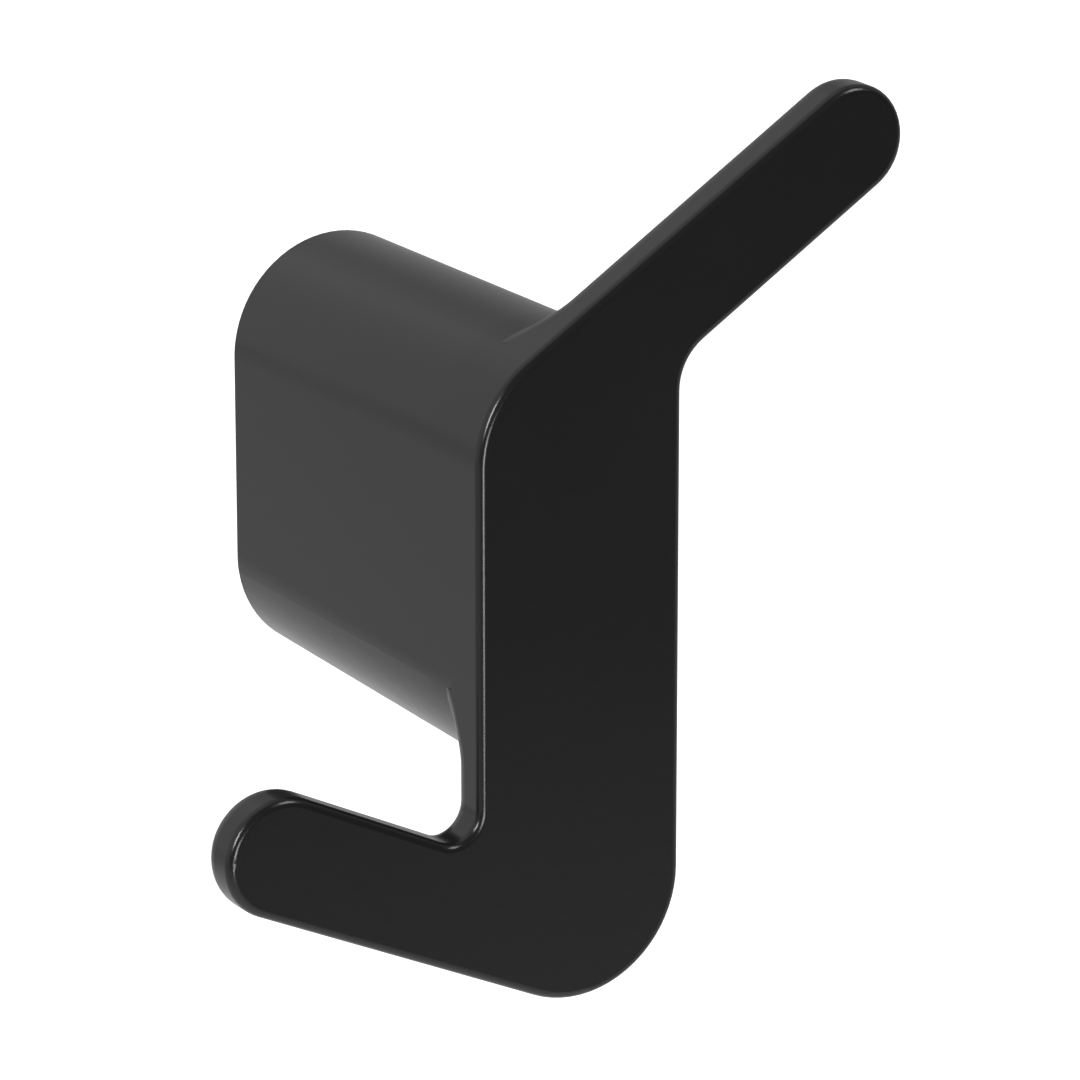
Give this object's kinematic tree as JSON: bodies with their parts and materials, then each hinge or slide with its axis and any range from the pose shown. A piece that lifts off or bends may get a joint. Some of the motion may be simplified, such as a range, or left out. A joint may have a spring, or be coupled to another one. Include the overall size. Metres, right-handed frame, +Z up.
{
  "type": "robe hook",
  "caption": "Wall-mounted robe hook: a flat J-shaped plate with a rising upper arm and a lower hook on a deep rounded post, with a hidden wall bracket.",
  "frame": {"origin": "centre of the post's flat end, on the wall's surface", "axes": "-Y out of the wall into the room, +Y into the wall, +Z up along the stem, +X towards the upper arm's side"},
  "size_m": [0.0728, 0.045, 0.0841],
  "materials": {
    "black_lacquer": "satin black lacquer",
    "bracket_zinc": "bright zinc plate on steel",
    "screw_steel": "black oxide"
  },
  "bodies": {
    "root": {"hook_body": "black_lacquer", "wall_bracket": "bracket_zinc", "grub_screw": "screw_steel"}
  },
  "joints": []
}
